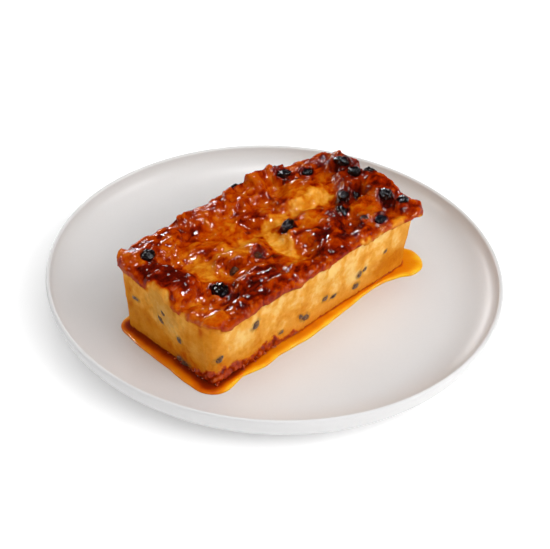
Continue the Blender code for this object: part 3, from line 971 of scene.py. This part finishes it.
def currant_film_and_end_sheen(spots):
    """How strongly the currants in the sides show through the custard at each spot, with a painted sheen
    and shade on the left end.
    """
    film = np.zeros(len(spots))
    ragged = 0.35 * fine_noise(spots, 2.2, 397)
    for side, run, up, length, height, turn in CURRANTS:
        axis = 0 if side in ("near", "far") else 1
        facing = 1.0 if side in ("near", "right") else -1.0
        x, y = spun(spots[:, axis] - run, spots[:, 2] - up, -math.radians(turn) * facing)
        reach = np.hypot(x / (0.95 * length), y / (1.05 * height)) + ragged
        beside = np.abs(spots[:, 1 - axis] - SIDE_FACES[side]) < 7.0
        film = np.maximum(film, smooth((1.15 - reach) / 0.8) * beside)
    # Painted sheen and shade: a soft grey-brown patch in the middle of the left end.
    patch = np.hypot((spots[:, 1] - 33.0) / 15.0, (spots[:, 2] - 34.0) / 17.0) + ragged
    patch = 0.34 * smooth((1.1 - patch) / 0.7) * (spots[:, 0] < 6.0)
    return np.maximum(0.72 * film, patch)


def stickiness(spots):
    """How much sticky gloss lies on each spot: little on the dull left end of the top."""
    dull = ellipse_reach(spots, *DULL_PATCH, 32.0, 30.0, 0.0) + 0.2 * fine_noise(spots, 5.0, 398)
    return 1.0 - 0.6 * smooth((1.15 - dull) / 0.4)


def side_bake_and_shade(spots):
    """How far the sides are baked at each spot, with painted shade on the left end."""
    along, across, up = spots.T
    moved = warped(spots, 10.0, 2.5, 321)
    level = 0.09 + 0.15 * fine_noise(moved, 11.0, 331)
    level = level + 0.09 * fine_noise(spots * np.array([1.0, 1.0, 0.3]), 5.0, 333)
    level = level + 0.07 * fine_noise(moved, 2.6, 334)
    level = level + 0.14 * smooth(1.0 - up / 24.0)
    level = level - 0.07 * smooth((up - 26.0) / 8.0) * smooth(along / 4.0)
    # Painted shade: the left end, turned away from the light, is made darker.
    level = level + 0.12 * smooth((3.0 - along) / 4.0)
    level = level + 0.05 * smooth((76.0 - along) / 30.0) * smooth((6.0 - across) / 6.0)
    ragged = 0.30 * fine_noise(moved, 7.0, 332)
    for *area, value in SIDE_BAKED:
        reach = np.linalg.norm((moved - area[:3]) / area[3:], axis=-1)
        level = blend(level, value, smooth((1.0 - reach + ragged) / 0.7))
    return level


def vertex_normals(thing):
    """Unit normals of a mesh object's vertices."""
    count = len(thing.data.vertices)
    normals = np.empty(count * 3)
    thing.data.vertices.foreach_get("normal", normals)
    return normals.reshape(-1, 3)


def softened(heights, passes):
    """The grid of heights with its steps eased, its outer edge kept."""
    for _ in range(passes):
        eased = heights.copy()
        eased[1:-1] = (heights[:-2] + 2 * heights[1:-1] + heights[2:]) / 4
        heights = eased.copy()
        heights[:, 1:-1] = (eased[:, :-2] + 2 * eased[:, 1:-1] + eased[:, 2:]) / 4
    return heights


def eased_top(places, flat):
    """Height of the fine top: its lumps eased except by the raisins, and its ridges added."""
    heights = top_height(places, flat)
    inside = smooth(rim_depth(flat) / 6.0)
    by_raisin = raisin_nearness(places, 1.9, 0.7)
    heights = blend(heights, softened(heights, SOFTENING), 0.85 * inside * (1.0 - by_raisin))
    return heights + pleat_rise(places) * smooth(rim_depth(flat) / 4.0)


def side_levels(rim_heights, line, reach):
    """Height and outward push of each ring of the side, from below the rim down to the base."""
    count = len(rim_heights)
    under = line - CRUST_UNDERCUT
    levels = []
    for step in range(1, CRUST_ROWS + 1):
        share = step / CRUST_ROWS
        push = reach * np.interp(share, [0.0, 0.4, 0.7, 1.0], [1.0, 0.55, 0.2, 0.0])
        levels.append((blend(rim_heights, under, share), push))
    for step in range(1, WALL_ROWS + 1):
        levels.append((blend(under, FOOT_ROUNDING, step / WALL_ROWS), np.zeros(count)))
    for step in range(1, FOOT_ROWS + 1):
        turn = math.pi / 2 * step / FOOT_ROWS
        height = np.full(count, FOOT_ROUNDING * (1.0 - math.sin(turn)))
        levels.append((height, np.full(count, -0.6 * FOOT_ROUNDING * (1.0 - math.cos(turn)))))
    return levels


def loaf_surface(flat, edge):
    """Points and faces of the loaf, then for each point its crust line and its rim's height."""
    top = flat + rim_reach(flat)[..., None] * outward(flat)
    heights = eased_top(to_places(top), flat)
    rim = flat[edge]
    rim_heights = heights[edge]
    line = np.minimum(CRUST_LINE - spread_sum(bearing(rim), CRUST_DRIPS), rim_heights - CRUST_LEAST)
    levels = side_levels(rim_heights, line, rim_reach(rim))
    index = np.arange(heights.size).reshape(heights.shape)
    corners = [index[:-1, :-1], index[1:, :-1], index[1:, 1:], index[:-1, 1:]]
    quads = [np.stack(corners, axis=-1).reshape(-1, 4)]
    rows = [raised(top, heights).reshape(-1, 3)]
    upper = index[edge]
    first = heights.size
    for height, push in levels:
        rows.append(raised(side_ring(rim, height, push), height))
        lower = np.arange(first, first + len(rim))
        quads.append(np.stack([upper, lower, np.roll(lower, -1), np.roll(upper, -1)], axis=-1))
        upper = lower
        first += len(rim)
    faces = np.concatenate(quads).tolist()
    faces.append(upper[::-1].tolist())
    line_here = np.concatenate([np.full(heights.size, -100.0), np.tile(line, len(levels))])
    rim_here = np.concatenate([np.full(heights.size, 100.0), np.tile(rim_heights, len(levels))])
    return np.concatenate(rows), faces, line_here, rim_here


def crust_end(spots, line_here, rim_here):
    """Height of the ragged line on the sides where the crust ends, at each spot."""
    along, across, _ = spots.T
    hang = 0.3 + 0.4 * smooth((4.0 - along) / 6.0) + 2.6 * bell(away_from(spots, -1.0, 3.0) / 8.0)
    hang = hang + 1.5 * fine_noise(spots, 8.0, 341) + 1.3 * fine_noise(spots, 3.0, 342)
    hang = hang + 3.0 * smooth((across - 30.0) / 20.0)
    return np.maximum(line_here - 0.5, rim_here - hang)


def bare_reach(spots):
    """How far in from the rim the custard shows without crust, at each spot."""
    along, across, _ = spots.T
    near = smooth((6.0 - across) / 6.0) * (0.38 + 0.36 * smooth((along - 70.0) / 30.0))
    left = 1.1 * smooth((5.0 - along) / 6.0) * smooth((62.0 - across) / 8.0)
    bare = 3.2 * np.maximum(near, left) - 3.0 - 2.6 * bell(away_from(spots, -1.0, 3.0) / 11.0)
    return bare + 2.6 * fine_noise(spots, 9.0, 343) + 0.9 * fine_noise(spots, 3.4, 344)


def foot_band(spots):
    """At each spot, how far torn caramel covers it, how warm it is above that, and how near the front."""
    along, across, up = spots.T
    front = smooth((76.0 - along) / 24.0) * smooth((24.0 - across) / 20.0)
    reach = 1.6 + 0.8 * fine_noise(spots * [1, 1, 0.2], 9.0, 351)
    reach = reach + 5.2 * smooth((66.0 - along) / 24.0) * smooth((20.0 - across) / 20.0)
    reach = reach + 3.0 * bell(away_from(spots, -2.0, -2.0) / 9.0)
    torn = blend(0.5, 2.4, front) * fine_noise(spots, 4.2, 353)
    torn = torn + blend(0.2, 1.3, front) * fine_noise(spots, 1.7, 354)
    torn = torn + 3.4 * front * fine_noise(spots * [1.0, 1.0, 0.3], 9.0, 356)
    foot = smooth((reach + torn - up) / 1.2 + 0.5)
    return foot, smooth(1.0 - (up - reach) / 6.0), front


def wall_relief(spots, foot, front):
    """How far the custard of the sides and the torn foot stand out at each spot."""
    rise = 0.16 * fine_noise(spots, 4.0, 381) + 0.09 * fine_noise(spots, 1.7, 382)
    rise = rise - 0.45 * smooth((fine_noise(spots, 2.6, 383) - 0.42) / 0.2)
    foot_rise = 1.9 * np.abs(fine_noise(spots, 5.2, 384)) + 0.7 * fine_noise(spots, 2.6, 385)
    return rise + foot * foot_rise * blend(0.4, 1.2, front)


def make_pudding():
    """The loaf with its crust, as one closed fine mesh that follows the plain solid."""
    grid, edge = loaf_grid()
    flat = plan(grid)
    points, faces, line_here, rim_here = loaf_surface(flat, edge)
    top_count = flat[..., 0].size
    side_rows = (len(points) - top_count) // len(edge[0])
    is_top = np.arange(len(points)) < top_count
    spots = raised(to_places(points[:, :2]), points[:, 2])
    plain = to_frame(points[:, :2], points[:, 2])
    thing = mesh_object("bread_pudding_loaf", plain, faces, pudding_material())

    ragged_line = crust_end(spots, line_here, rim_here)
    top_bare = bare_reach(spots)[:top_count].reshape(grid.shape[:2])
    covered = smooth((rim_depth(flat) - top_bare) / 1.8 + 0.5)
    crust = smooth((spots[:, 2] - ragged_line) / 2.6 + 0.5)
    crust[:top_count] = covered.reshape(-1)
    crust[top_count:] *= np.tile(covered[edge], side_rows)

    foot, warm, front = foot_band(spots)
    # The sides' level includes painted shade on the left end.
    on_side = blend(side_bake_and_shade(spots), 0.30, 0.7 * warm)
    on_side = blend(on_side, blend(0.56, 0.67, front) + 0.26 * fine_noise(spots, 2.6, 355), foot)
    runs = np.clip(fine_noise(spots * [1, 1, 0.12], 4.5, 352) - 0.25, 0.0, 1.0)
    on_side = on_side + 0.5 * runs * smooth(1.0 - (line_here - spots[:, 2]) / 9.0)

    on_top = bake_top(spots)
    crust_rise, crease_shade_and_tone, calm = crust_relief(spots, on_top)
    rise = blend(wall_relief(spots, foot, front), crust_rise * np.where(is_top, 1.0, 0.45), crust)
    rise = rise * smooth(spots[:, 2] / 1.6)

    edge_light = np.where(is_top, smooth(1.0 - rim_depth(points[:, :2]) / 3.0), 1.0)
    near_side = smooth((8.0 - spots[:, 1]) / 8.0)
    # The crust's level includes painted shade in its cracks and hollows.
    crust_level = (on_top + crease_shade_and_tone) * (1.0 - 0.14 * edge_light * near_side)
    thin = np.where(is_top, 0.0, smooth(1.0 - (spots[:, 2] - ragged_line) / 3.6))
    crust_level = blend(crust_level, 0.42, 0.65 * thin)
    baked = blend(on_side, np.minimum(crust_level, DARKEST), crust)
    baked = blend(baked, np.maximum(baked, 0.95), raisin_shade(spots) * crust)

    moved = plain + vertex_normals(thing) * rise[:, None]
    top_heights = raisin_sockets(spots[:top_count], moved[:top_count, 2] - LOAF_BASE)
    moved[:top_count, 2] = top_heights + LOAF_BASE
    moved[:, 2] = np.minimum(moved[:, 2], HIGHEST)
    thing.data.vertices.foreach_set("co", (moved * METRES).ravel())
    thing.data.update()
    set_attributes(
        thing,
        baked=baked,
        crust=crust,
        craggy=crust * calm,
        dusk=currant_film_and_end_sheen(spots) * (1.0 - crust),
        sticky=stickiness(spots) * (1.0 - 0.55 * edge_light * (1.0 - foot)),
        glossy=np.maximum(crust, foot),
    )
    return thing


def ball(segments, rings):
    """Unit sphere points and faces, pole to pole."""
    tilts = [math.pi * ring / rings for ring in range(1, rings)]
    section = [(0.0, 1.0)] + [(math.sin(tilt), math.cos(tilt)) for tilt in tilts] + [(0.0, -1.0)]
    points, faces = turned(section, segments)
    return np.array(points), faces


def make_raisins():
    """Each raisin as its own wrinkled piece where its solid is, the deeply sunk ones under a glaze."""
    balls, faces = ball(RAISIN_SEGMENTS, RAISIN_RINGS)
    bare = raisin_material("raisin_skin", (6, 3, 3), (14, 7, 6), (44, 18, 12))
    veiled = raisin_material("glazed_raisin_skin", (46, 22, 14), (84, 44, 24), (130, 76, 40))
    pieces = []
    for number, (along, across, length, width, height, turn, sunk) in enumerate(RAISINS):
        bumps = 1.0 + RAISIN_WRINKLE * noise(balls + 7.0 * number, 0.55, 21)
        bumps = bumps - 0.16 * np.clip(fine_noise(balls + 3.0 * number, 1.1, 402), 0.0, 1.0)
        sizes = np.array([length, width, height]) / 2
        shaped = balls * bumps[:, None] * sizes
        swirl = warped(shaped + 31.0 * number, 2.6, 0.7, 401)
        folds = np.abs(fine_noise(swirl * [0.5, 1.0, 1.0], 2.4, 411))
        creases = np.abs(fine_noise(swirl * [0.7, 1.0, 1.0], 1.2, 412))
        depth = 0.55 * smooth(1.0 - folds / 0.45) + 0.05 * smooth(1.0 - creases / 0.35)
        shaped = shaped - balls * depth[:, None]
        x, y = spun(shaped[:, 0], shaped[:, 1], math.radians(turn))
        level = surface_height(along, across) + (0.5 - sunk) * height
        centre = to_frame(np.array([along, across]) - LOAF_HALF, level)
        placed = np.stack([x, y, shaped[:, 2]], axis=-1) + centre
        material = veiled if sunk >= DEEPLY_SUNK else bare
        pieces.append(mesh_object(f"raisin_skin_{number + 1:02d}", placed, faces, material))
    return pieces


def syrup_width(turns):
    """Width of the pool at each turn about the loaf's centre."""
    table = np.array(SYRUP_WIDTHS, float)
    turn = np.concatenate([table[:, 0], [180.0]])
    width = np.concatenate([table[:, 1], [table[0, 1]]])
    return np.interp(turns, turn, width)


def syrup_section():
    """The pool's section from under the loaf to its outer edge: share of its width, height."""
    surface = SYRUP_DEPTH + SYRUP_SWELL
    section = [(0.0, 0.0)]
    for share in np.linspace(0.0, 0.2, 6):
        section.append((share, surface + SYRUP_CLIMB * (1.0 - share / 0.2) ** 2))
    for share in np.linspace(0.3, 0.7, 5):
        section.append((share, surface - SYRUP_SWELL * (share - 0.3)))
    for turn in np.linspace(0.0, 1.0, 9)[1:]:
        angle = math.pi / 2 * turn
        section.append((0.7 + 0.3 * math.sin(angle), SYRUP_LIFT + SYRUP_DEPTH * math.cos(angle)))
    section.append((0.985, 0.0))
    return section


def make_syrup():
    """The pool of syrup, climbing the loaf a little and rounded at its outer edge."""
    grid, edge = loaf_grid()
    rim = plan(grid[edge])
    count = len(rim)
    inner = side_ring(rim, np.full(count, 1.0), -SYRUP_OVERLAP)
    width = syrup_width(bearing(inner)) + SYRUP_OVERLAP
    for _ in range(SYRUP_EASING):
        width = (np.roll(width, 1) + 2 * width + np.roll(width, -1)) / 4
    spots = raised(inner, 0.0)
    width = width + 0.35 * fine_noise(spots, 14.0, 501) + 0.12 * fine_noise(spots, 6.0, 502)
    section = syrup_section()
    rings = []
    for share, rise in section:
        ring = inner + outward(rim) * (width * share)[:, None] + LOAF_CENTRE
        rings.append(raised(ring, floor_height(np.linalg.norm(ring, axis=1)) + SYRUP_LIFT + rise))
    points = np.concatenate(rings)
    index = np.arange(len(points)).reshape(len(section), count)
    below = np.roll(index, -1, axis=0)
    quads = np.stack([index, below, np.roll(below, -1, axis=1), np.roll(index, -1, axis=1)], axis=-1)
    thing = mesh_object("syrup_pool", points, quads.reshape(-1, 4).tolist(), syrup_material())
    share = np.repeat([share for share, _ in section], count)
    away = share * np.tile(width, len(section))
    place = to_places(points[:, :2] - LOAF_CENTRE)
    left_end = smooth((6.0 - place[:, 0]) / 10.0)
    front = bell((place[:, 0] - 4.0) / 24.0) * smooth((14.0 - place[:, 1]) / 12.0)
    dark_reach = 1.5 + 3.6 * left_end + 3.8 * front + 0.6 * fine_noise(points, 5.0, 511)
    burnt = smooth(1.25 - away / np.maximum(dark_reach, 0.4))
    base = 0.27 + 0.12 * left_end + 0.10 * fine_noise(points, 7.0, 512)
    base = base - (0.22 - 0.10 * left_end) * smooth((share - 0.45) / 0.5)
    set_attributes(thing, burnt=blend(base, 0.70 + 0.22 * np.maximum(left_end, front), burnt))
    return thing


def wall_place(side, run, up):
    """A point on the loaf's plain side, the way out from it and the way along it."""
    if side in ("near", "far"):
        sign = -1.0 if side == "near" else 1.0
        rim = np.array([[run - LOAF_LENGTH / 2, sign * TOP_HALF[1]]])
        along = np.array([-sign, 0.0, 0.0])
    else:
        sign = -1.0 if side == "left" else 1.0
        rim = np.array([[sign * TOP_HALF[0], run - LOAF_WIDTH / 2]])
        along = np.array([0.0, sign, 0.0])
    ring = side_ring(rim, np.array([float(up)]), np.zeros(1))
    out = outward(rim)[0]
    return to_frame(ring, np.array([float(up)]))[0], np.array([out[0], out[1], 0.0]), along


def join_blobs(name, blobs, material):
    """One piece from several blobs, each its points and faces."""
    vertices = []
    faces = []
    for points, blob_faces in blobs:
        first = len(vertices)
        vertices.extend(points.tolist())
        faces.extend([tuple(first + i for i in face) for face in blob_faces])
    return mesh_object(name, vertices, faces, material)


def make_currants():
    """Currants that show in the sides, level with the custard."""
    balls, faces = ball(*CURRANT_BALL)
    upward = np.array([0.0, 0.0, 1.0])
    blobs = []
    for number, (side, run, up, length, height, turn) in enumerate(CURRANTS):
        place, out, along = wall_place(side, run, up)
        bumps = 1.0 + 0.18 * fine_noise(balls + 5.0 * number, 0.7, 601)
        bumps = bumps - 0.12 * np.abs(fine_noise(balls + 9.0 * number, 0.4, 602))
        shaped = balls * bumps[:, None] * np.array([0.76 * length, 0.76 * height, CURRANT_HALF])
        right, rise = spun(shaped[:, 0], shaped[:, 1], math.radians(turn))
        placed = place + right[:, None] * along + rise[:, None] * upward
        placed = placed + (shaped[:, 2] - CURRANT_SUNK)[:, None] * out
        blobs.append((placed, faces))
    return join_blobs("side_currants", blobs, currant_material())


def make_bits(generator):
    """Scraps of caramel round the loaf's foot, most of them by the front corner."""
    balls, faces = ball(*BIT_BALL)
    blobs = []
    for number in range(BIT_COUNT):
        pick = generator.random()
        size = 0.5 + 0.7 * generator.random() ** 2
        side, length, crowding = next(row[:3] for row in BIT_SIDES if pick < row[3])
        run = length * generator.random() ** crowding
        place, out, _ = wall_place(side, run, 1.0)
        away = 0.2 + 1.2 * generator.random() ** 2
        lift = 1.2 * generator.random()
        bumps = 1.0 + 0.4 * fine_noise(balls + 3.0 * number, 0.8, 611)
        angle = generator.random() * math.pi
        sizes = size * np.array([1.0 + 0.6 * generator.random(), 0.9, 0.55])
        shaped = balls * bumps[:, None] * sizes
        x, y = spun(shaped[:, 0], shaped[:, 1], angle)
        middle = place + out * away
        surface = FLOOR_HEIGHT + SYRUP_DEPTH + SYRUP_SWELL
        middle[2] = surface + 0.4 * size + lift * max(0.0, 1.0 - away)
        blobs.append((np.stack([x, y, shaped[:, 2]], axis=-1) + middle, faces))
    return join_blobs("caramel_bits", blobs, bits_material())


def make_floor():
    """The pale floor that the plate stands on."""
    corners = [(x * STUDIO_REACH, y * STUDIO_REACH, 0.0) for x, y in ((-1, -1), (1, -1), (1, 1), (-1, 1))]
    floor = mesh_object("studio_floor", corners, [(0, 1, 2, 3)], floor_material())


def add_area(name, place, size, power, shows):
    """A soft rectangular light aimed at the pudding, which shows in diffuse light or in gloss."""
    light = bpy.data.lights.new(name, "AREA")
    light.shape = "RECTANGLE"
    light.size, light.size_y = size
    light.energy = power
    thing = bpy.data.objects.new(name, light)
    bpy.context.scene.collection.objects.link(thing)
    thing.location = place
    aim = Vector(LIGHT_TARGET) - Vector(place)
    thing.rotation_euler = aim.to_track_quat("-Z", "Y").to_euler()
    thing.visible_glossy = shows == "gloss"
    thing.visible_diffuse = shows == "diffuse"


def make_world():
    """White light from all round, strongest from above the near side, which doesn't show in gloss."""
    world = bpy.data.worlds.new("studio")
    world.use_nodes = True
    tree = world.node_tree
    backdrop = tree.nodes["Background"]
    backdrop.inputs["Color"].default_value = (1.0, 1.0, 1.0, 1.0)
    way = tree.nodes.new("ShaderNodeTexCoord")
    facing = tree.nodes.new("ShaderNodeVectorMath")
    facing.operation = "DOT_PRODUCT"
    facing.inputs[1].default_value = BRIGHT_WAY
    fade = tree.nodes.new("ShaderNodeMapRange")
    fade.inputs["From Min"].default_value = -1.0
    fade.inputs["To Min"].default_value, fade.inputs["To Max"].default_value = WORLD_STRENGTH
    tree.links.new(way.outputs["Generated"], facing.inputs[0])
    tree.links.new(facing.outputs["Value"], fade.inputs["Value"])
    tree.links.new(fade.outputs["Result"], backdrop.inputs["Strength"])
    world.cycles_visibility.glossy = False
    bpy.context.scene.world = world


def make_camera():
    """The camera at the photograph's viewing angle."""
    down = math.radians(CAMERA_DOWN)
    turn = math.radians(CAMERA_TURN)
    roll = math.radians(CAMERA_ROLL)
    right = Vector((math.cos(turn), math.sin(turn), 0.0))
    level = Vector((-math.sin(turn), math.cos(turn), 0.0))
    forward = (level * math.cos(down) - Vector((0.0, 0.0, 1.0)) * math.sin(down)).normalized()
    upward = right.cross(forward)
    rolled_right = right * math.cos(roll) + upward * math.sin(roll)
    rolled_up = upward * math.cos(roll) - right * math.sin(roll)
    place = (Vector(CAMERA_TARGET) - forward * CAMERA_DISTANCE) * METRES
    pose = Matrix((rolled_right, rolled_up, -forward)).transposed().to_4x4()
    pose.translation = place
    data = bpy.data.cameras.new("camera")
    data.sensor_width = SENSOR_WIDTH
    data.lens = FOCAL_PIXELS * SENSOR_WIDTH / PICTURE_SIZE[0]
    data.clip_start = 0.01
    data.clip_end = 30.0
    camera = bpy.data.objects.new("camera", data)
    camera.matrix_world = pose
    bpy.context.scene.collection.objects.link(camera)
    bpy.context.scene.camera = camera


def attach(piece, slot, *nodes):
    """Puts a piece on the part's one body and hides the nodes it stands for; the slot is not used."""
    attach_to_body(piece, "root")
    if nodes:
        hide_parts(*nodes)


def main():
    make_camera()
    attach(make_plate(), "plate", "plate")
    attach(make_pudding(), "pudding", "pudding")
    attach(make_syrup(), "syrup", "syrup")
    for number, piece in enumerate(make_raisins()):
        attach(piece, "raisin", f"raisin_{number + 1:02d}")
    attach(make_currants(), "raisin")
    attach(make_bits(np.random.default_rng(7)), "pudding")
    make_floor()
    for light in LIGHTS:
        add_area(*light)
    make_world()
    bpy.context.scene.view_settings.view_transform = "Standard"


main()
